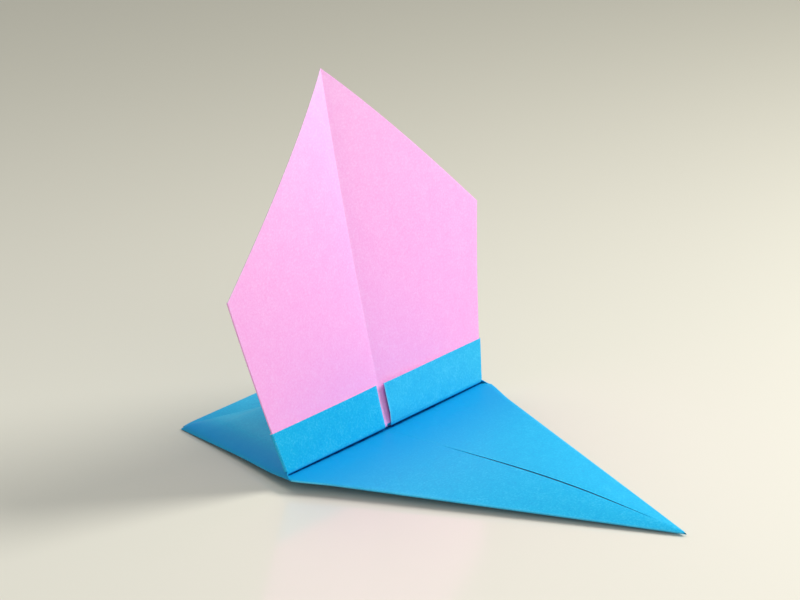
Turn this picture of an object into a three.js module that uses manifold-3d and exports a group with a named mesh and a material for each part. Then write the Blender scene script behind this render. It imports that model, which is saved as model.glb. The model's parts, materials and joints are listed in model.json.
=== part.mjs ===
// A sailboat toy folded from one square sheet of two-coloured paper.
// Millimetres, +Z up, bow towards -Y, starboard side towards -X.
// Each flat panel between two creases is one closed solid.
import * as THREE from 'three';
import { mergeVertices } from 'three/addons/utils/BufferGeometryUtils.js';
import Module from 'manifold-3d';

const wasm = await Module();
wasm.setup();

// The sheet and its folds
const sheetSide = 150;
const paper = 0.1;
const layerGap = 0.1;         // air between two layers that lie on each other
const bandHeight = 8.7;       // blue band left below the pink face of the sail
const sailLean = 11.1;        // degrees from upright, towards the stern
const archHeight = 1.7;       // the hull's underside at the hinge, above the table

// Clearances
const creaseGap = 0.3;        // between two panels that share a crease
const bowSeamGap = 0.6;       // between the raw edges that meet on the bow
const bandSeamGap = 1.5;      // between the two halves of the band
const backSeamGap = 0.5;      // between the folded edges on the back
const hingeGap = 0.3;         // from the hinge axis to the panels either side of it

// Fold lines, measured along the sheet's diagonal from its bow corner
const kiteSlope = Math.tan(Math.PI / 8);
const sideSlope = Math.tan(Math.PI / 16);
const diagonal = sheetSide * Math.SQRT2;
const sternFold = diagonal / 2;
const hingeFold = sheetSide - bandHeight;
const shoulderAt = diagonal / (1 + sideSlope);
const flapTopAt = sheetSide * Math.hypot(1, kiteSlope);
const gussetTopAt = sternFold * Math.hypot(1, kiteSlope);

// Lengths either side of the hinge crease
const bowLength = diagonal - hingeFold;
const sternLength = hingeFold - sternFold;
const midCrease = creaseGap / 2;
const tipTrim = midCrease / kiteSlope;
const hullCentre = (bowLength - tipTrim - sternLength) / 2;

// Stack of layers in the hull, counted from the underside
const layer = { base: 0, bowFlap: 1, lining: 2, deck: 3, flap: 4, cover: 5, gussetLining: 6, gusset: 7 };
const pitch = paper + layerGap;

// The hinge axis lies half a gap above the topmost layer it must fold over
const topOfStack = layer.gusset * pitch + paper;
const topOfSail = layer.cover * pitch + paper;
const axisLevel = (topOfStack + layerGap + topOfSail) / 2;
const creaseTuck = axisLevel - (layer.deck * pitch + paper / 2);

const bluePaper = { color: 0x1f93dc, roughness: 0.62, metalness: 0 };
const pinkPaper = { color: 0xf2a6e6, roughness: 0.62, metalness: 0 };

const boat = new THREE.Group();
const hull = new THREE.Group();
const sail = new THREE.Group();
boat.add(hull, sail);
hull.position.y = hullCentre;
sail.position.set(0, hullCentre + creaseTuck, archHeight + axisLevel);
sail.rotation.x = THREE.MathUtils.degToRad(-sailLean);

// Half width of the side crease and of the bow's edge, at y from the hinge crease
const sideCreaseX = (y) => sideSlope * (hingeFold - y);
const bowEdgeX = (y) => kiteSlope * (y + bowLength);
const hullCornerY = (sideSlope * hingeFold - kiteSlope * bowLength) / (kiteSlope + sideSlope);

function toSolid(geometry) {
  const bare = geometry.clone();
  bare.deleteAttribute('normal');
  bare.deleteAttribute('uv');
  const merged = mergeVertices(bare, 1e-5);
  return new wasm.Manifold(new wasm.Mesh({
    numProp: 3,
    vertProperties: new Float32Array(merged.attributes.position.array),
    triVerts: new Uint32Array(merged.index.array),
  }));
}

function toGeometry(solid) {
  const mesh = solid.getMesh();
  const geometry = new THREE.BufferGeometry();
  geometry.setAttribute('position', new THREE.BufferAttribute(mesh.vertProperties, 3));
  geometry.setIndex(new THREE.BufferAttribute(mesh.triVerts, 1));
  geometry.computeVertexNormals();
  return geometry;
}

function prism(points, depth) {
  const shape = new THREE.Shape(points.map(([x, y]) => new THREE.Vector2(x, y)));
  return new THREE.ExtrudeGeometry(shape, { depth, bevelEnabled: false });
}

function mirrored(points) {
  return points.map(([x, y]) => [-x, y]).reverse();
}

function addMesh(parent, name, geometry, finish) {
  const mesh = new THREE.Mesh(geometry, new THREE.MeshStandardMaterial(finish));
  mesh.name = name;
  parent.add(mesh);
  return mesh;
}

// One layer of the hull over its whole length: low at the tip and the stern, high at the hinge
function archedLayer(level) {
  const low = level * pitch;
  const halfWidth = kiteSlope * diagonal;
  const section = [
    [-bowLength, low],
    [0, low + archHeight],
    [sternLength, low],
    [sternLength, low + paper],
    [0, low + archHeight + paper],
    [-bowLength, low + paper],
  ];
  const slab = prism(section, 2 * halfWidth);
  slab.applyMatrix4(new THREE.Matrix4().set(0, 0, 1, -halfWidth, 1, 0, 0, 0, 0, 1, 0, 0, 0, 0, 0, 1));
  return toSolid(slab);
}

// A hull panel and its twin, cut out of their arched layer
function hullPair(name, level, outline, finish) {
  const slab = archedLayer(level);
  const sides = { port: outline, starboard: mirrored(outline) };
  for (const [side, points] of Object.entries(sides)) {
    const cutter = toSolid(prism(points, archHeight + 2 * topOfStack).translate(0, 0, -topOfStack));
    addMesh(hull, `${name}_${side}`, toGeometry(slab.intersect(cutter)), finish);
  }
}

// A sail panel and its twin: x across, y up the sail from the hinge axis, front face towards the bow
function sailPair(name, level, outline, finish) {
  const sides = { port: outline, starboard: mirrored(outline) };
  for (const [side, points] of Object.entries(sides)) {
    const mesh = addMesh(sail, `${name}_${side}`, prism(points, paper), finish);
    mesh.rotation.x = Math.PI / 2;
    mesh.position.y = level * pitch + paper - axisLevel;
  }
}

const bowSeam = bowSeamGap / 2;
const backSeam = backSeamGap / 2;
const bandSeam = bandSeamGap / 2;
const deckEnd = creaseTuck + hingeGap;

// Underside of the hull, one sheet from the bow's tip to the stern fold
function hullOutline(inner) {
  return [
    [inner, inner / kiteSlope - bowLength],
    [bowEdgeX(hullCornerY), hullCornerY],
    [sideCreaseX(sternLength), sternLength],
    [inner, sternLength],
  ];
}
hullPair('hull_base', layer.base, hullOutline(midCrease), bluePaper);
hullPair('bow_flap', layer.bowFlap, hullOutline(bowSeam), bluePaper);

// Stern deck, the same sheet folded forwards over the hull as far as the hinge
function deckOutline(inner) {
  return [
    [inner, deckEnd],
    [sideCreaseX(deckEnd), deckEnd],
    [sideCreaseX(sternLength), sternLength],
    [inner, sternLength],
  ];
}
hullPair('deck_lining', layer.lining, deckOutline(bowSeam), bluePaper);
hullPair('stern_deck', layer.deck, deckOutline(midCrease), bluePaper);

// Side flaps of the stern, folded in along the side crease to meet on the middle line
const gussetTopY = sternLength - (gussetTopAt - sternFold);
const gussetEdgeSlope = (sternLength - gussetTopY) / sideCreaseX(sternLength);
function sternFlapOutline() {
  return [
    [backSeam, deckEnd],
    [sideCreaseX(deckEnd), deckEnd],
    [sideCreaseX(sternLength), sternLength],
    [backSeam, gussetTopY + backSeam * gussetEdgeSlope],
  ];
}
hullPair('stern_flap', layer.flap, sternFlapOutline(), bluePaper);
hullPair('stern_flap_cover', layer.cover, sternFlapOutline(), bluePaper);

// Gussets, where the hull's underside wraps up round the side crease and over the flaps
const foldedEdgeSlope = (gussetTopY - hullCornerY) / bowEdgeX(hullCornerY);
const foldedEdgeX = (y) => (gussetTopY - y) / foldedEdgeSlope;
function gussetOutline() {
  return [
    [foldedEdgeX(deckEnd), deckEnd],
    [sideCreaseX(deckEnd), deckEnd],
    [sideCreaseX(sternLength), sternLength],
    [backSeam, gussetTopY + backSeam * gussetEdgeSlope],
    [backSeam, gussetTopY - backSeam * foldedEdgeSlope],
  ];
}
hullPair('gusset_lining', layer.gussetLining, gussetOutline(), bluePaper);
hullPair('gusset', layer.gusset, gussetOutline(), bluePaper);

// Sail panels, by their distance along the diagonal
const upSail = (along) => along - hingeFold - creaseTuck;
const sailFoot = hingeGap;
const footX = sideSlope * (hingeFold + creaseTuck + sailFoot);
const shoulder = [sideSlope * shoulderAt, upSail(shoulderAt)];

sailPair('sail_band', layer.lining, [
  [bandSeam, sailFoot],
  [footX, sailFoot],
  [sideSlope * sheetSide, upSail(sheetSide)],
  [bandSeam, upSail(sheetSide)],
], bluePaper);

sailPair('sail_face', layer.deck, [
  [midCrease, sailFoot],
  [footX, sailFoot],
  shoulder,
  [midCrease, upSail(diagonal - midCrease)],
], pinkPaper);

const flapTopSlope = (shoulderAt - flapTopAt) / shoulder[0];
const coverTopSlope = (flapTopAt - sheetSide) / (sideSlope * sheetSide);
sailPair('sail_back_flap', layer.flap, [
  [backSeam, sailFoot],
  [footX, sailFoot],
  shoulder,
  [backSeam, upSail(flapTopAt + backSeam * flapTopSlope)],
], pinkPaper);

sailPair('sail_back_cover', layer.cover, [
  [backSeam, sailFoot],
  [footX, sailFoot],
  [sideSlope * sheetSide, upSail(sheetSide)],
  [backSeam, upSail(flapTopAt - backSeam * coverTopSlope)],
], bluePaper);

export default boat;
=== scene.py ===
import json
import math

import bmesh
import bpy
from mathutils import Matrix, Vector


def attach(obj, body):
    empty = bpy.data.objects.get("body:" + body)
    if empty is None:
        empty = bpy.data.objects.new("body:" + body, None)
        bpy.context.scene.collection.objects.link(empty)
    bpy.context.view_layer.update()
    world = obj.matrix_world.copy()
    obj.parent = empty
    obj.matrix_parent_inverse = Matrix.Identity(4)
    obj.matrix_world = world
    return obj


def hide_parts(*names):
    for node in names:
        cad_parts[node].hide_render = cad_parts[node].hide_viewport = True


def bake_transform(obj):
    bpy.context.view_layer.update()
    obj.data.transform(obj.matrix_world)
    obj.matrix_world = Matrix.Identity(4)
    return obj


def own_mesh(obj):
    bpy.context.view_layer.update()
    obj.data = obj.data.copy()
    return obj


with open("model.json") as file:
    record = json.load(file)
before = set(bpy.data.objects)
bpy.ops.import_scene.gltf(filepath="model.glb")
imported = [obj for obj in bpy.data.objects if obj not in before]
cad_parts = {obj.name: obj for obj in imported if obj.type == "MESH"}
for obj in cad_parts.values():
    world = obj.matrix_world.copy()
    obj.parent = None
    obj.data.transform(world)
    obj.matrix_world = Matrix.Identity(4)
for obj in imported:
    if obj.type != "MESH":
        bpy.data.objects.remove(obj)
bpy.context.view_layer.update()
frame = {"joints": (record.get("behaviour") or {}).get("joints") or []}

# Looks for a sailboat folded from one square sheet, blue on one side and pink on the other.
# The frame gives the hinge, everything else follows from the sheet. Lengths are in mm until
# a point is placed, then metres. y counts from the hinge crease, bow negative, stern positive.
mm = 0.001

sheet = {
    "side": 150.0,       # the square
    "band": 8.7,         # blue strip left under the pink face
    "paper": 0.1,
    "pitch": 0.2,        # from one layer to the next
    "arch": 1.7,         # underside at the hinge, above the table
    "lean": 11.1,        # sail, degrees back from upright
    "axisLevel": 1.35,   # hinge axis above the underside
}

# Where the folds fall on the sheet, measured along its diagonal, and what that makes of the hull
kiteSlope = math.tan(math.pi / 8)
sideSlope = math.tan(math.pi / 16)
diagonal = sheet["side"] * math.sqrt(2)
sternFold = diagonal / 2
hingeFold = sheet["side"] - sheet["band"]
bowLength = diagonal - hingeFold
sternLength = hingeFold - sternFold
shoulderAt = diagonal / (1 + sideSlope)
flapTopAt = sheet["side"] * math.hypot(1, kiteSlope)
wrapTopY = sternLength - sternFold * (math.hypot(1, kiteSlope) - 1)
cornerY = (sideSlope * hingeFold - kiteSlope * bowLength) / (kiteSlope + sideSlope)
cornerX = kiteSlope * (cornerY + bowLength)
sternX = sideSlope * sternFold
footX = sideSlope * hingeFold

hinge = frame["joints"][0]
axisY, axisZ = hinge["pos_m"][1] / mm, hinge["pos_m"][2] / mm
low = sheet["paper"] / 2
tuck = sheet["axisLevel"] - 3 * sheet["pitch"] - low
creaseY = axisY - tuck
lean = math.radians(sheet["lean"])
sides = {"port": 1, "starboard": -1}


def smooth(value, start, end):
    t = min(1.0, max(0.0, (value - start) / (end - start)))
    return t * t * (3 - 2 * t)


def steps(start, end, count):
    return [start + (end - start) * i / count for i in range(count + 1)]


def sideX(y):
    return sideSlope * (hingeFold - y)


def bowX(y):
    return kiteSlope * (y + bowLength)


# Underside of the hull above the table, with the bend at the hinge eased over a few mm
def liftAt(y):
    ease = 1.5
    run = bowLength if y < 0 else sternLength
    return sheet["arch"] * max(0.0, 1 - (math.hypot(y, ease) - ease) / run)


def hullPoint(x, y, z):
    return Vector((x, y + creaseY, z)) * mm


class Wire:
    # a socket that can be used in sums: each operator adds one Math node
    def __init__(self, graph, socket):
        self.graph = graph
        self.socket = socket

    def output(self, index):
        return Wire(self.graph, self.socket.node.outputs[index])

    def sum(self, operation, *others):
        return self.graph.add("ShaderNodeMath", {"operation": operation}, [self, *others])

    def __add__(self, other):
        return self.sum("ADD", other)

    __radd__ = __add__

    def __mul__(self, other):
        return self.sum("MULTIPLY", other)

    __rmul__ = __mul__

    def __sub__(self, other):
        return self.sum("SUBTRACT", other)

    def __rsub__(self, other):
        return self.graph.add("ShaderNodeMath", {"operation": "SUBTRACT"}, [other, self])

    def __truediv__(self, other):
        return self.sum("DIVIDE", other)

    def least(self, other):
        return self.sum("MINIMUM", other)

    def most(self, other):
        return self.sum("MAXIMUM", other)

    def share(self):
        return self.most(0).least(1)


class Graph:
    # one node tree, shader or geometry
    def __init__(self, tree):
        self.tree = tree

    # settings are set first, then sockets by name or by place
    def add(self, kind, settings=None, inputs=None, output=0):
        node = self.tree.nodes.new(kind)
        for key, value in (settings or {}).items():
            setattr(node, key, value)
        pairs = inputs.items() if isinstance(inputs, dict) else enumerate(inputs or [])
        for key, value in pairs:
            socket = node.inputs[key]
            if isinstance(value, Wire):
                self.tree.links.new(value.socket, socket)
            else:
                socket.default_value = value
        return Wire(self, node.outputs[output]) if len(node.outputs) else None

    def tint(self, amount, first, second):
        return self.add("ShaderNodeMix", {"data_type": "RGBA"}, {0: amount, 6: first, 7: second}, output=2)

    def between(self, amount, first, second):
        return self.add("ShaderNodeMix", {"data_type": "VECTOR"}, {0: amount, 4: first, 5: second}, output=1)


# A material or world with an empty node tree
def emptyTree(block):
    block.use_nodes = True
    block.node_tree.nodes.clear()
    return Graph(block.node_tree)


# the last colour of each paper is a painted shadow, used where the wear attribute falls below -1
paperLooks = {
    "blue": {
        "color": (0.006, 0.435, 0.74),
        "pale": (0.10, 0.63, 0.90),
        "deep": (0.001, 0.27, 0.66),
        "paintedShadow": (0.0, 0.03, 0.17),
    },
    "pink": {
        "color": (0.90, 0.41, 0.76),
        "pale": (0.96, 0.62, 0.90),
        "deep": (0.86, 0.30, 0.66),
        "paintedShadow": (0.30, 0.08, 0.20),
    },
    "rim": {
        "color": (0.62, 0.60, 0.66),
        "pale": (0.85, 0.83, 0.88),
        "deep": (0.40, 0.40, 0.52),
        "paintedShadow": (0.20, 0.20, 0.28),
    },
}
paperGrain = {
    "fibre": 2600.0,      # fine grain, per metre
    "cloud": 420.0,       # soft mottling
    "fibreShare": 0.50,
    "cloudShare": 0.12,
    "roughness": 0.52,
    "gloss": 0.3,
    "bump": 0.22,
    "bumpHeight": 0.06,
    "wear": 0.55,         # how far a fold pales with wear, painted light pales, and painted shade deepens
}


def paperMaterial(name, look):
    material = bpy.data.materials.new(name)
    g = emptyTree(material)
    shades = {key: (*color, 1) for key, color in look.items()}
    where = g.add("ShaderNodeTexCoord", output="Object")
    fibre = g.add("ShaderNodeTexNoise", {}, {
        "Vector": where, "Scale": paperGrain["fibre"], "Detail": 4.0, "Roughness": 0.65,
    })
    cloud = g.add("ShaderNodeTexNoise", {}, {
        "Vector": where, "Scale": paperGrain["cloud"], "Detail": 3.0, "Roughness": 0.55,
    })
    speck = g.add("ShaderNodeTexVoronoi", {}, {"Vector": where, "Scale": paperGrain["fibre"] * 0.6})
    wear = g.add("ShaderNodeAttribute", {"attribute_name": "wear"}, output="Fac")

    # mottled all over
    uneven = (cloud - 0.5) * 4 * paperGrain["cloudShare"] + (fibre - 0.5) * 4 * paperGrain["fibreShare"]
    paler = g.tint(uneven.share(), shades["color"], shades["pale"])
    mottled = g.tint((0 - uneven).share(), paler, shades["deep"])

    # paler on worn folds and where light is painted, deeper where painted shade takes the wear below 0, and
    # a painted shadow below -1
    patchy = 0.2 + fibre * 0.9 + cloud * 0.7
    worn = (wear * paperGrain["wear"] * patchy).least(1)
    lighter = g.tint(worn.most(0), mottled, shades["pale"])
    deeper = g.tint((0 - worn).share(), lighter, shades["deep"])
    color = g.tint((-1 - worn).share(), deeper, shades["paintedShadow"])

    rough = paperGrain["roughness"] + (fibre - 0.5) * 0.25 + (cloud - 0.5) * 0.12
    height = fibre * 0.6 + speck * 0.25 + cloud * 0.35
    bump = g.add("ShaderNodeBump", {}, {
        "Strength": paperGrain["bump"], "Distance": paperGrain["bumpHeight"] * mm, "Height": height,
    })
    skin = g.add("ShaderNodeBsdfPrincipled", {}, {
        "Base Color": color, "Roughness": rough, "Normal": bump, "Specular IOR Level": paperGrain["gloss"],
    })
    g.add("ShaderNodeOutputMaterial", {}, {"Surface": skin})
    return material


paints = {name: paperMaterial(name + "Paper", look) for name, look in paperLooks.items()}
print("materials:", ", ".join(paints))


madePieces = []
smallGap = 2e-6


def placeObject(name, data):
    obj = bpy.data.objects.new(name, data)
    bpy.context.scene.collection.objects.link(obj)
    return obj


def bakeModifiers(obj):
    view = bpy.context.evaluated_depsgraph_get()
    view.update()
    solid = bpy.data.meshes.new_from_object(
        obj.evaluated_get(view), preserve_all_data_layers=True, depsgraph=view)
    obj.modifiers.clear()
    obj.data = solid
    solid.name = obj.name


# Gives a surface its thickness and its colours, front, back and edge, and makes it a plain mesh
def finishSheet(obj, front, back, edge):
    obj.data.materials.clear()
    for key in (front, back, edge):
        obj.data.materials.append(paints[key])
    wall = obj.modifiers.new("thickness", "SOLIDIFY")
    wall.thickness = sheet["paper"] * mm
    wall.offset = 0
    wall.material_offset = 1
    wall.material_offset_rim = 2
    bakeModifiers(obj)
    obj.data.shade_smooth()
    obj.data.set_sharp_from_angle(angle=math.radians(50))
    madePieces.append(obj)


def mergePoints(mesh):
    work = bmesh.new()
    work.from_mesh(mesh)
    bmesh.ops.remove_doubles(work, verts=work.verts, dist=smallGap)
    bmesh.ops.dissolve_degenerate(work, edges=work.edges, dist=smallGap / 2)
    work.to_mesh(mesh)
    work.free()


# Rows of (point, wear) joined by quads, the wear value holding fold wear and painted shading. facing is +1
# where the front looks up or ahead.
def loft(name, rows, front, back, edge, facing):
    width = len(rows[0])
    points = [point for row in rows for point, _ in row]
    faces = []
    for r in range(len(rows) - 1):
        for c in range(width - 1):
            a = r * width + c
            quad = [a, a + 1, a + width + 1, a + width]
            faces.append(quad if facing > 0 else quad[::-1])
    mesh = bpy.data.meshes.new(name)
    mesh.from_pydata(points, [], faces)
    layer = mesh.attributes.new("wear", "FLOAT", "POINT")
    layer.data.foreach_set("value", [wear for row in rows for _, wear in row])
    mergePoints(mesh)
    piece = placeObject(name, mesh)
    finishSheet(piece, front, back, edge)
    return piece


def mirror(rows, side):
    return [[(Vector((point.x * side, point.y, point.z)), wear) for point, wear in row] for row in rows]


wrapShape = {
    "pillow": 5.5,         # how far in the side crease's roundness reaches, midway
    "pillowAtHinge": 1.3,
    "pillowAtStern": 3.4,
    "sideOut": 0.55,       # stands this far outside the sail's foot
    "cornerRun": 2.4,      # over this length the bow's edge turns up into the wrap
    "level": 7,            # layers it lies over
    "press": 0.60,         # how far its stern edge is pressed down
    "pressLimit": 0.45,    # at most this share of its height
    "edgeRoll": 0.1,
    "liningRoll": 0.05,
    "liningInset": 0.2,
    "liningStart": 2.2,
    "columns": 64,
    "foldAt": 0.86,        # share of the columns before the free edge's fold
    "edgeWear": 0.75,
    "creaseWear": 0.7,
    # painted shade near the side crease and the hinge, and a painted sheen over the wrap's open part
    "cornerPaintedShade": -1.25,
    "openPaintedSheen": 1.85,
}
bowShape = {
    "seamGap": 0.42,       # widest part of the seam
    "seamClosed": 0.02,
    "crown": 1.75,         # air under the flaps, greatest past the middle
    "roll": 0.12,
    "edgeCurl": 0.35,      # the edges turn up a little
    "tipLift": 0.30,
    "flapEnd": 6.0,        # the flaps go on this far under the wraps
    "seamWear": 0.1,
    "edgeWear": 0.5,
    "paintedShadeReach": 24.0,     # painted shade on the flaps deepens from here to the hinge
    # painted shade near the hinge, and a painted shadow line along it
    "hingePaintedShade": -1.0,
    "hingePaintedShadow": -2.4,
    "rimWear": 0.8,
    # a painted highlight on the rolled edge towards the hinge corner
    "cornerPaintedHighlight": 0.9,
    "keep": 0.15,
}
deckShape = {
    "sternRoll": 0.3,
    "sideGap": 0.7,        # short of the side crease
    "flapGap": 0.9,
    "seam": 0.22,
    # a painted sheen over the deck, and painted shade towards the stern's corners
    "paintedShading": 0.35,
    "cornerPaintedShade": -1.1,
    "foldWear": 0.6,
    "seamWear": 0.45,
}


def pillowWidth(y):
    midway = wrapShape["pillow"]
    nearHinge = wrapShape["pillowAtHinge"]
    nearHinge += (midway - nearHinge) * smooth(y, -1, 11)
    return nearHinge + (wrapShape["pillowAtStern"] - midway) * smooth(y, 20, sternLength)


# The stack closes up towards the side crease, like the rim of a pillow
def pillow(y, inside):
    t = min(1.0, max(0.0, inside / pillowWidth(y)))
    return math.sqrt(1 - (1 - t) ** 2)


def sideOut(y):
    return wrapShape["sideOut"] * (1 - smooth(y, 2, 18)) * smooth(y, -10, cornerY)


# share is 0 on the middle line and 1 at the edge
def edgeCurl(y, share):
    wide = smooth(bowX(y), 0, 7)
    curl = bowShape["edgeCurl"] * (1 - smooth(y, cornerY, cornerY + 7)) * share ** 2
    return curl * wide + bowShape["tipLift"] * (1 - wide)


# Outline of the hull: the bow's edges, then the side creases
def outline(y):
    return (bowX(y) if y <= cornerY else sideX(y)) + sideOut(y)


def stackZ(level, y, inside):
    return liftAt(y) + low + level * sheet["pitch"] * pillow(y, inside)


def seamGapAt(y):
    t = (-y / bowLength - 0.2) / 0.7
    opening = math.sin(math.pi * t) ** 0.7 if 0 < t < 1 else 0
    return bowShape["seamClosed"] + (bowShape["seamGap"] - bowShape["seamClosed"]) * opening


def crownAt(y):
    t = min(1.0, max(0.0, -y / bowLength))
    return bowShape["crown"] * math.sin(math.pi * t ** 1.35)


def hullStations():
    bow = steps(-bowLength, cornerY, 76)
    corner = steps(cornerY, 0, 8)[1:]
    stern = steps(0, sternLength - deckShape["sternRoll"], 46)[1:]
    return bow + corner + stern


def baseRows(first, last):
    rows = []
    for y in hullStations():
        if not first <= y <= last:
            continue
        outer = max(0.0, outline(y) - bowShape["roll"] * (1 - smooth(y, cornerY, 0)))
        bottom = liftAt(y) + low
        rows.append([(hullPoint(outer * u, y, bottom + edgeCurl(y, u)), 0) for u in steps(0, 1, 14)])
    return rows


# The kite flap over the bow, with the fold that joins it to the base along the bow's edge
def bowFlapRows():
    rows = []
    for y in [y for y in hullStations() if y <= bowShape["flapEnd"]]:
        free = 1 - smooth(y, cornerY, cornerY + wrapShape["cornerRun"])
        edge = outline(y) - 0.12 * (1 - free) - 0.4 * smooth(y, 1, 3)
        inner = min(seamGapAt(y) / 2, edge * 0.5)
        radius = min(bowShape["roll"], edge * 0.4)
        rim = max(inner, edge - radius)
        taper = smooth(edge, 0, 9)
        bottom = liftAt(y) + low
        top = bottom + sheet["pitch"] + (2 * radius - sheet["pitch"]) * free
        # painted shade deepens the flaps towards the hinge, and a painted shadow line lies at the hinge
        paintedShading = bowShape["hingePaintedShade"] * (1 - smooth(-y, 1, bowShape["paintedShadeReach"]))
        paintedShading += bowShape["hingePaintedShadow"] * smooth(y, -0.45, 0.1)
        row = []
        for u in steps(0, 1, 24):
            x = inner + (rim - inner) * u
            crown = crownAt(y) * (1 - u ** 1.6)
            wear = bowShape["seamWear"] * (1 - smooth(x - inner, 0.05, 0.3)) * taper
            wear += bowShape["edgeWear"] * smooth(u, 0.98, 1)
            row.append((hullPoint(x, y, top + crown + edgeCurl(y, u)), wear * free + paintedShading))
        # fold wear on the rolled edge, and a painted highlight towards the hinge corner
        wear = bowShape["rimWear"] + bowShape["cornerPaintedHighlight"] * smooth(y, -16, -3)
        for turn in steps(0, math.pi, 8)[1:]:
            x = rim + radius * math.sin(turn) * free
            z = (top + bottom) / 2 + (top - bottom) / 2 * math.cos(turn)
            row.append((hullPoint(x, y, (z if free > 0.5 else top) + edgeCurl(y, 1)), wear * free))
        rows.append(row)
    return rows


# Painted shading of the deck: a painted sheen over it, and painted shade darker towards the stern's corners
def deckPaintedShading(x):
    return deckShape["paintedShading"] + deckShape["cornerPaintedShade"] * smooth(x, 3, sternX)


# Flat inner layers of the stern. The outer of the two rolls round the stern fold to the underside.
def deckRows(level, inner, rolled):
    rows = []
    radius = deckShape["sternRoll"]
    gap = deckShape["sideGap"]
    last = sternLength - (radius if rolled else radius + 0.2)
    for y in steps(tuck, last, 44):
        across = steps(inner, sideX(y) - gap, 18)
        rows.append([(hullPoint(x, y, stackZ(level, y, sideX(y) - x)), deckPaintedShading(x)) for x in across])
    if rolled:
        for turn in steps(0, math.pi, 12)[1:]:
            row = []
            for x in steps(inner, sideX(last) - gap, 18):
                height = level * sheet["pitch"] / 2 * pillow(last, sideX(last) - x)
                z = liftAt(last) + low + height * (1 + math.cos(turn))
                row.append((hullPoint(x, last + radius * math.sin(turn), z), deckPaintedShading(x)))
            rows.append(row)
    return rows


# Side flap of the stern. Its cover lies blue side up and is folded down along the middle line.
def sternFlapRows(level, folded):
    seam = deckShape["seam"]
    rows = []
    for y in steps(tuck, sternLength - 0.6, 44):
        outer = sideX(y) - deckShape["flapGap"]
        across = max(0.0, y - wrapTopY) / (sternLength - wrapTopY)
        inner = min(seam + across * (sternX - seam) + 0.3 * smooth(across, 0, 0.1), outer - 0.02)
        sunk = 0.8 * wrapShape["press"] * smooth(across, 0, 0.3)
        row = []
        if folded:
            for turn in steps(math.pi, 0, 6)[:-1]:
                z = stackZ(level - 0.5 + 0.5 * math.cos(turn), y, sideX(y) - inner) - sunk
                row.append((hullPoint(inner - 0.1 * math.sin(turn), y, z), deckShape["foldWear"]))
        for u in steps(0, 1, 20):
            x = inner + (outer - inner) * u
            z = stackZ(level, y, sideX(y) - x) - sunk * smooth(1 - u, 0, 1)
            row.append((hullPoint(x, y, z), deckShape["seamWear"] * (1 - smooth(u, 0, 0.03))))
        rows.append(row)
    return rows


# Section of the wrap by the length of sheet travelled from the side crease: up and over in a
# quarter ellipse, then flat across the stack. Gives the way inward and the height.
def wrapProfile(width, height, travelled):
    count = 40
    inward, up, last = 0.0, 0.0, 0.0
    for i in range(1, count + 1):
        turn = math.pi / 2 * i / count
        nextIn, nextUp = width * (1 - math.cos(turn)), height * math.sin(turn)
        step = math.hypot(nextIn - inward, nextUp - up)
        if last + step >= travelled:
            share = (travelled - last) / step
            return inward + (nextIn - inward) * share, up + (nextUp - up) * share
        inward, up, last = nextIn, nextUp, last + step
    return inward + travelled - last, height


# Wrap from the underside over the stack to its free edge, where it folds under. At the hinge it
# starts as the bow's rolled edge, and it lifts off from there. The lining has an inset.
def wrapRows(inset, first, last):
    rows = []
    foldAt, roll = wrapShape["foldAt"], bowShape["roll"]
    rollShare = 1 if inset == 0 else 0.3
    cornerEnd = cornerY + 4
    for y in steps(first, cornerEnd, 22) + steps(cornerEnd, last, 46)[1:]:
        across = max(0.0, (y - wrapTopY) / (sternLength - wrapTopY))
        free = across * sternX if across > 0 else (wrapTopY - y) / (wrapTopY - cornerY) * cornerX
        reach = max(0.02, sideX(y) - free - 0.1 - 3 * inset)
        crease = outline(y) - inset
        bottom = liftAt(y) + low + inset + edgeCurl(y, 1)
        height = wrapShape["level"] * sheet["pitch"] - 2 * inset
        lifted = smooth(y, cornerY, cornerY + wrapShape["cornerRun"])
        width = pillowWidth(y) - inset
        endIn, endUp = wrapProfile(width, height, reach)
        radius = min(wrapShape["edgeRoll"] if inset == 0 else wrapShape["liningRoll"], endUp / 2)
        row = []
        for f in steps(0, 1, wrapShape["columns"]):
            if f <= foldAt:
                travelled = reach * (f / foldAt) ** 1.5
                inward, up = wrapProfile(width, height, travelled)
            else:
                travelled = reach
                turn = (f - foldAt) / (1 - foldAt) * math.pi
                inward, up = endIn + radius * math.sin(turn), endUp - radius * (1 - math.cos(turn))
            pressed = wrapShape["press"] * smooth(across, 0, 0.3) * smooth(inward, 0, endIn)
            pressed = min(pressed, wrapShape["pressLimit"] * up)
            turn = f * math.pi
            rollIn, rollUp = roll * (1 - math.sin(turn)), roll * (1 - math.cos(turn)) * rollShare
            x = crease - (rollIn + (inward - rollIn) * lifted)
            z = bottom + rollUp + (up - pressed - rollUp) * lifted
            wear = wrapShape["creaseWear"] * (1 - smooth(travelled, 0.1, 0.8))
            if across < 0.05:
                nearFold = smooth(f, foldAt - 0.05, foldAt + 0.02)
                wear += wrapShape["edgeWear"] * nearFold * (1 - smooth(across, 0, 0.05))
            # painted shade near the crease and the hinge, painted sheen over the open part
            paintedShading = wrapShape["cornerPaintedShade"] + wrapShape["openPaintedSheen"] * smooth(inward, 1, 9) * smooth(y, -1, 9)
            row.append((hullPoint(x, y, z), min(1, wear + paintedShading)))
        rows.append(row)
    return rows


# At the hinge corners the lining's blue lies against the inside of the wrap
def lineCorner(piece):
    for face in piece.data.polygons:
        if face.material_index == 1 and face.center.y < (creaseY + cornerY + 4) * mm:
            face.material_index = 0


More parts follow.
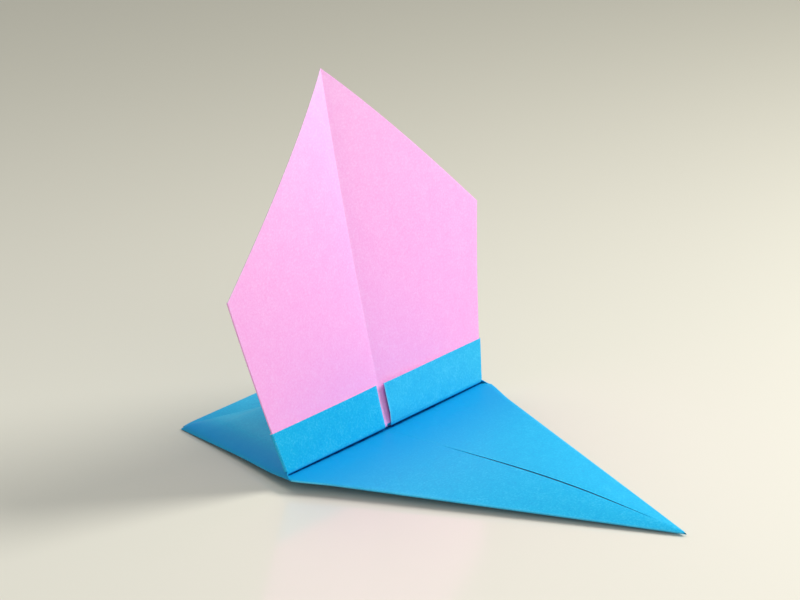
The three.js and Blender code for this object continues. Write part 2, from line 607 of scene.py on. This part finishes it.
def buildHull():
    bowAnchor = hullPoint(0, 0, liftAt(0))
    inset, start = wrapShape["liningInset"], cornerY + wrapShape["liningStart"]
    plans = {
        "hull_base": (baseRows(0, sternLength), "blue", "pink", -1),
        "bow_base": (baseRows(-bowLength, 0), "blue", "pink", -1),
        "bow_flap": (bowFlapRows(), "blue", "pink", 1),
        "deck_lining": (deckRows(2, 0.3, False), "pink", "blue", 1),
        "stern_deck": (deckRows(3, 0.0, True), "blue", "pink", 1),
        "stern_flap": (sternFlapRows(4, False), "pink", "blue", 1),
        "stern_flap_cover": (sternFlapRows(5, True), "blue", "pink", 1),
        "gusset_lining": (wrapRows(inset, start, sternLength - 1.2), "pink", "blue", -1),
        "gusset": (wrapRows(0.0, cornerY, sternLength - 0.05), "blue", "pink", -1),
    }
    for part, (rows, front, back, facing) in plans.items():
        for side, sign in sides.items():
            piece = loft(f"{part}_{side}_paper", mirror(rows, sign), front, back, "blue", facing * sign)
            if part == "gusset":
                lineCorner(piece)
            if part in ("bow_base", "bow_flap"):
                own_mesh(piece)
            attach(piece, "hull")
            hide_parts(f"hull_base_{side}" if part == "bow_base" else f"{part}_{side}")
    print("hull:", 2 * len(plans), "panels")


# A geometry tree with its named inputs, and those inputs as wires
def openTree(name, places, sizes):
    tree = bpy.data.node_groups.new(name, "GeometryNodeTree")
    face = tree.interface
    face.new_socket("Geometry", in_out="OUTPUT", socket_type="NodeSocketGeometry")
    for label in places:
        face.new_socket(label, in_out="INPUT", socket_type="NodeSocketVector")
    for label in sizes:
        face.new_socket(label, in_out="INPUT", socket_type="NodeSocketFloat")
    face.new_socket("Material", in_out="INPUT", socket_type="NodeSocketMaterial")
    g = Graph(tree)
    entry = g.add("NodeGroupInput").socket.node
    return g, {socket.name: Wire(g, socket) for socket in entry.outputs if socket.name}


# Marks the grid's wear and painted shading, moves its points, and gives it its paper
def closeTree(g, given, grid, wear, point):
    marked = g.add("GeometryNodeStoreNamedAttribute", {"data_type": "FLOAT", "domain": "POINT"},
                   {"Geometry": grid, "Name": "wear", "Value": wear})
    moved = g.add("GeometryNodeSetPosition", {}, {"Geometry": marked, "Position": point})
    merged = g.add("GeometryNodeMergeByDistance", {}, {"Geometry": moved, "Distance": smallGap})
    real = g.add("GeometryNodeRealizeInstances", {}, {"Geometry": merged})
    painted = g.add("GeometryNodeSetMaterial", {}, {"Geometry": real, "Material": given["Material"]})
    g.add("NodeGroupOutput", {}, [painted])
    return g.tree


# Runs a geometry tree with its inputs set by identifier, and keeps the result as a plain mesh
def growPiece(name, tree, side, values):
    obj = placeObject(name, bpy.data.meshes.new(name))
    modifier = obj.modifiers.new("grow", "NODES")
    modifier.node_group = tree
    keys = {item.name: item.identifier for item in tree.interface.items_tree if item.in_out == "INPUT"}
    for label, value in {**values, "Side": float(side)}.items():
        modifier[keys[label]] = value
    bakeModifiers(obj)
    if side < 0:
        obj.data.flip_normals()
    return obj


sailShape = {
    "sag": 0.7,           # middle crease bows back
    "rise": 6.0,          # each half comes forward from the crease ...
    "riseTop": 2.0,
    "fall": 5.0,          # ... and back again towards its edge
    "fallTop": 2.0,
    "creaseDepth": 0.22,
    "creaseReach": 3.0,
    "bandSeam": 0.75,
    "backSeam": 0.25,
    "bandRaise": 0.65,    # the port half of the band stands off the face by the slit
    # painted light: the port half of the band is painted paler
    "bandPaintedLight": 0.3,
    "keep": 0.1,
    "columns": 44,
    "rows": 72,
    "turnColumns": 8,
}
# where the slit's shadow is painted, across the middle and below the band's top
slit = {"from": 1.1, "to": 7.0, "below": 1.2}


# A sail panel between an inner and an outer line, each from foot by knee to top
def sailTree():
    places = ("Inner Foot", "Inner Knee", "Inner Top", "Outer Foot", "Outer Knee", "Outer Top")
    sizes = ("Side", "Ahead", "Raise", "Turn Radius", "Inner Wear", "Top Wear", "Outer Wear",
             "Foot Painted Shading", "Top Painted Shading")
    g, given = openTree("sailPanel", places, sizes)
    columns, rows, extra = sailShape["columns"], sailShape["rows"], sailShape["turnColumns"]
    grid = g.add("GeometryNodeMeshGrid", {}, {
        "Size X": float(columns + extra), "Size Y": float(rows),
        "Vertices X": columns + extra + 1, "Vertices Y": rows + 1,
    })
    gridX = g.add("ShaderNodeSeparateXYZ", {}, [g.add("GeometryNodeInputPosition")])
    across = gridX + (columns + extra) / 2
    along = (gridX.output(1) + rows / 2) / rows
    u = (across / columns).least(1)
    turn = ((across - columns) / extra).most(0) * math.pi

    lower = (along * 2).least(1)
    upper = (along * 2 - 1).most(0)
    lines = []
    for label in ("Inner", "Outer"):
        below = g.between(lower, given[label + " Foot"], given[label + " Knee"])
        lines.append(g.between(upper, below, given[label + " Top"]))
    x = g.add("ShaderNodeSeparateXYZ", {}, [g.between(u, *lines)])
    v = x.output(1)

    # forward shape of the sail, from its height t and its distance from the crease s
    t = (v + tuck) / (diagonal - hingeFold)
    s = x / (sideSlope * shoulderAt)
    shape = (t * s * (t * sailShape["riseTop"] + sailShape["rise"])
             - t * s * s * (sailShape["fall"] - t * sailShape["fallTop"])
             - t * (1 - t) * (4 * sailShape["sag"]))
    fading = (x * (-1 / sailShape["creaseReach"])).sum("EXPONENT")
    dent = fading * sailShape["creaseDepth"] * (t * 12).least(1)
    opened = ((t * 20).least(1) * (math.pi / 2)).sum("SINE")
    lifted = given["Raise"] * (1 - u) * (1 - u) * opened
    radius = given["Turn Radius"]
    ahead = given["Ahead"] + shape - dent + lifted + radius * (1 - turn.sum("COSINE"))
    wide = x + radius * turn.sum("SINE")

    # stand it on the hinge axis and lean it back
    point = g.add("ShaderNodeCombineXYZ", {}, [
        wide * given["Side"] * mm,
        (v * math.sin(lean) - ahead * math.cos(lean) + axisY) * mm,
        (v * math.cos(lean) + ahead * math.sin(lean) + axisZ) * mm,
    ])
    # fold wear along the edges and top, plus painted shading from foot to top
    wear = (given["Inner Wear"] * (1 - u * columns).most(0)
            + given["Outer Wear"] * (1 - (1 - u) * columns).most(0)
            + given["Top Wear"] * (1 - (1 - along) * rows).most(0)
            + given["Foot Painted Shading"] + (given["Top Painted Shading"] - given["Foot Painted Shading"]) * t * t).least(1)
    return closeTree(g, given, grid, wear, point)


def upSail(along):
    return along - hingeFold - tuck


# Height of a layer ahead of the hinge axis
def aheadAt(level):
    return sheet["axisLevel"] - level * sheet["pitch"] - low


def quad(innerFoot, innerTop, outerFoot, outerTop):
    places = {"Inner": (innerFoot, innerTop), "Outer": (outerFoot, outerTop)}
    lines = {}
    for label, (foot, top) in places.items():
        lines[label + " Foot"] = foot
        lines[label + " Knee"] = tuple((a + b) / 2 for a, b in zip(foot, top))
        lines[label + " Top"] = top
    return lines


def sailPanels():
    foot = (footX, 0, 0)
    shoulder = (sideSlope * shoulderAt, upSail(shoulderAt), 0)
    bandTop = (sideSlope * sheet["side"], upSail(sheet["side"]), 0)
    apex = (0, upSail(diagonal), 0)
    seam, backSeam = sailShape["bandSeam"], sailShape["backSeam"]
    backFoot, flapTop = (backSeam, 0, 0), (backSeam, upSail(flapTopAt), 0)
    half = sheet["pitch"] / 2
    plain = {"Raise": 0.0, "Turn Radius": 0.0, "Inner Wear": 0.0, "Top Wear": 0.0, "Outer Wear": 0.0,
             "Foot Painted Shading": 0.0, "Top Painted Shading": 0.0}
    return {
        "sail_band": {
            **plain, **quad((seam, 0, 0), (seam, bandTop[1], 0), foot, bandTop),
            "Ahead": aheadAt(2), "Inner Wear": 0.7, "Top Wear": 0.7},
        # the face is painted darker at its foot and lighter towards its top
        "sail_face": {
            **plain, "Inner Foot": (0, 0, 0), "Inner Knee": (0, shoulder[1], 0), "Inner Top": apex,
            "Outer Foot": foot, "Outer Knee": shoulder, "Outer Top": apex,
            "Ahead": aheadAt(3), "Inner Wear": 0.25, "Outer Wear": 0.4, "Foot Painted Shading": -0.22, "Top Painted Shading": 0.6},
        "sail_back_flap": {
            **plain, **quad(backFoot, flapTop, foot, shoulder),
            "Ahead": aheadAt(4), "Turn Radius": half, "Top Wear": 0.5},
        "sail_back_cover": {
            **plain, **quad(backFoot, flapTop, foot, bandTop),
            "Ahead": aheadAt(5), "Turn Radius": 3 * half, "Top Wear": 0.5},
    }


# Edges below a height on the sail are folds, so they show the sheet's outside and no cut
def foldedBelow(piece, height, outside):
    for face in piece.data.polygons:
        if face.material_index == 2 and face.center.z < (axisZ + height) * mm:
            face.material_index = outside


# Paints the slit's shadow: under the raised half of the band, hidden pink is given the blue paper so the
# slit shows dark
def paintSlitShadow(piece, side):
    for face in piece.data.polygons:
        x, z = abs(face.center.x) / mm, face.center.z / mm - axisZ
        within = slit["from"] < x < slit["to"] and z < sheet["band"] - slit["below"]
        if face.material_index == side and within:
            face.material_index = 1 - side


def buildSail():
    tree = sailTree()
    shoulderHeight = upSail(shoulderAt) * math.cos(lean)
    colors = {"sail_band": ("blue", "pink"), "sail_face": ("pink", "blue"),
              "sail_back_flap": ("blue", "pink"), "sail_back_cover": ("pink", "blue")}
    for part, values in sailPanels().items():
        front, back = colors[part]
        ahead = values["Ahead"]
        plane = Vector((0, axisY - ahead * math.cos(lean), axisZ + ahead * math.sin(lean))) * mm
        for side, sign in sides.items():
            node = f"{part}_{side}"
            chosen = {**values, "Material": paints[front]}
            # the port half of the band is painted paler, as painted light
            if node == "sail_band_port":
                chosen.update({"Raise": sailShape["bandRaise"], "Foot Painted Shading": sailShape["bandPaintedLight"]})
            piece = growPiece(node + "_paper", tree, sign, chosen)
            finishSheet(piece, front, back, "rim")
            foldTop = shoulderHeight if part == "sail_face" else 0.5
            foldedBelow(piece, foldTop, 1 if part == "sail_back_cover" else 0)
            if node == "sail_face_port":
                paintSlitShadow(piece, 0)
            if node == "sail_band_port":
                paintSlitShadow(piece, 1)
            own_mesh(piece)
            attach(piece, "sail")
            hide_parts(node)
            "pink_paper" if part in ("sail_face", "sail_back_flap") else "blue_paper"
    print("sail: 8 panels")


# shade paints a dark shadow line into the lower part of the band's roll, at the hinge
creases = {
    "band": {"level": 2, "inner": 0.75, "portInner": 0.95, "front": "blue", "back": "pink", "shade": 4.2},
    "face": {"level": 3, "inner": 0.0, "portInner": 1.0, "front": "pink", "back": "blue", "shade": 0.0},
    "flap": {"level": 4, "inner": 0.25, "portInner": 0.25, "front": "blue", "back": "pink", "shade": 0.0},
    "cover": {"level": 5, "inner": 0.25, "portInner": 0.25, "front": "pink", "back": "blue", "shade": 0.0},
}
creaseRoll = {"columns": 30, "rows": 14, "wear": 0.35, "shadeTo": 0.72}


# A fold rolled about the hinge: one arc, swept from the hull up to the sail. Its Shade input paints a dark
# shadow line on the roll's lower part.
def rollTree():
    sizes = ("Inner", "Outer", "Radius", "Start Angle", "Sweep", "Side", "Shade")
    g, given = openTree("creaseRoll", (), sizes)
    grid = g.add("GeometryNodeMeshGrid", {}, {
        "Size X": 1.0, "Size Y": 1.0,
        "Vertices X": creaseRoll["columns"] + 1, "Vertices Y": creaseRoll["rows"] + 1,
    })
    gridX = g.add("ShaderNodeSeparateXYZ", {}, [g.add("GeometryNodeInputPosition")])
    u, t = gridX + 0.5, gridX.output(1) + 0.5
    angle = given["Start Angle"] + given["Sweep"] * t
    point = g.add("ShaderNodeCombineXYZ", {}, [
        (given["Inner"] + (given["Outer"] - given["Inner"]) * u) * given["Side"] * mm,
        (given["Radius"] * angle.sum("COSINE") + axisY) * mm,
        (given["Radius"] * angle.sum("SINE") + axisZ) * mm,
    ])
    worn = (t * math.pi).sum("SINE") * creaseRoll["wear"]
    shaded = given["Shade"] * ((creaseRoll["shadeTo"] - t) * 4).share()
    return closeTree(g, given, grid, worn - shaded, point)


def buildHinge():
    tree = rollTree()
    for label, crease in creases.items():
        radius = aheadAt(crease["level"])
        hullEnd = (0, axisY * mm, (axisZ - radius) * mm)
        sailEnd = (0, (axisY - radius * math.cos(lean)) * mm, (axisZ + radius * math.sin(lean)) * mm)
        for side, sign in sides.items():
            piece = growPiece(f"hinge_crease_{label}_{side}", tree, sign, {
                "Inner": crease["portInner"] if side == "port" else crease["inner"],
                "Outer": footX,
                "Radius": radius,
                "Start Angle": -math.pi / 2,
                "Sweep": -(math.pi / 2 + lean),
                "Shade": crease["shade"],
                "Material": paints[crease["front"]],
            })
            finishSheet(piece, crease["front"], crease["back"], "blue")
            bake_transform(piece)
    print("hinge:", 2 * len(creases), "crease strips")


studio = {
    "floor": (0.76, 0.735, 0.635),
    "floorPaintedShade": (0.44, 0.42, 0.335),
    "floorAway": (0.695, 0.624, 0),      # the floor is painted darker this way as painted shade, from and to these metres
    "floorFrom": -0.10,
    "floorTo": 0.36,
    "floorSize": 6.0,
    "world": (0.98, 1.0, 1.0),
    "worldStrength": 0.40,
}
lamps = {
    "key": {"size": 0.26, "power": 2.80, "at": (0.36, -0.20, 0.33), "color": (1.0, 0.99, 0.98)},
    "fill": {"size": 0.8, "power": 2.1, "at": (-0.30, -0.80, 0.42), "color": (0.98, 0.98, 1.0)},
    "back": {"size": 0.5, "power": 1.3, "at": (0.10, 0.45, 0.62), "color": (1.0, 1.0, 0.98)},
}
camera = {
    "azimuth": -48.08,
    "elevation": 20.91,
    "roll": -1.87,
    "distance": 548.0,
    "lens": 129.4,
    "aim": (4.89, 0.0, 27.19),
}


def buildFloor():
    far = studio["floorSize"]
    mesh = bpy.data.meshes.new("floor")
    mesh.from_pydata([(-far, -far, 0), (far, -far, 0), (far, far, 0), (-far, far, 0)], [], [(0, 1, 2, 3)])
    material = bpy.data.materials.new("tableTop")
    g = emptyTree(material)
    where = g.add("ShaderNodeTexCoord", output="Object")
    away = g.add("ShaderNodeVectorMath", {"operation": "DOT_PRODUCT"},
                 {0: where, 1: studio["floorAway"]}, output=1)
    # painted shade: the floor's colour darkens along floorAway
    dimmed = g.add("ShaderNodeMapRange", {"interpolation_type": "SMOOTHSTEP"},
                   {0: away, 1: studio["floorFrom"], 2: studio["floorTo"], 3: 0.0, 4: 1.0})
    color = g.tint(dimmed, (*studio["floor"], 1), (*studio["floorPaintedShade"], 1))
    skin = g.add("ShaderNodeBsdfPrincipled", {}, {
        "Base Color": color, "Roughness": 0.13, "Specular IOR Level": 0.45,
    })
    g.add("ShaderNodeOutputMaterial", {}, {"Surface": skin})
    mesh.materials.append(material)
    placeObject("floor", mesh)


def buildLights():
    world = bpy.data.worlds.new("studio")
    g = emptyTree(world)
    glow = g.add("ShaderNodeBackground", {}, {
        "Color": (*studio["world"], 1), "Strength": studio["worldStrength"],
    })
    g.add("ShaderNodeOutputWorld", {}, {"Surface": glow})
    bpy.context.scene.world = world
    middle = hullPoint(0, 0, 20)
    for name, plan in lamps.items():
        lamp = bpy.data.lights.new(name, "AREA")
        lamp.shape = "DISK"
        lamp.size = plan["size"]
        lamp.energy = plan["power"]
        lamp.color = plan["color"]
        holder = placeObject(name, lamp)
        holder.location = plan["at"]
        holder.visible_camera = False
        holder.visible_glossy = False
        holder.rotation_euler = (Vector(plan["at"]) - middle).to_track_quat("Z", "Y").to_euler()


def buildCamera():
    lens = bpy.data.cameras.new("camera")
    lens.lens = camera["lens"]
    lens.sensor_width = 36
    azimuth, elevation = math.radians(camera["azimuth"]), math.radians(camera["elevation"])
    level = math.cos(elevation)
    away = Vector((math.sin(azimuth) * level, -math.cos(azimuth) * level, math.sin(elevation)))
    turn = (Matrix.Rotation(azimuth, 4, "Z")
            @ Matrix.Rotation(math.pi / 2 - elevation, 4, "X")
            @ Matrix.Rotation(math.radians(camera["roll"]), 4, "Z"))
    place = hullPoint(*camera["aim"]) + away * camera["distance"] * mm
    eye = placeObject("camera", lens)
    eye.matrix_world = Matrix.Translation(place) @ turn
    bpy.context.scene.camera = eye
    print("floor, lights and camera")


bpy.context.scene.view_settings.view_transform = "Standard"
buildFloor()
buildLights()
buildCamera()
buildHull()
buildSail()
buildHinge()
print("pieces:", len(madePieces))
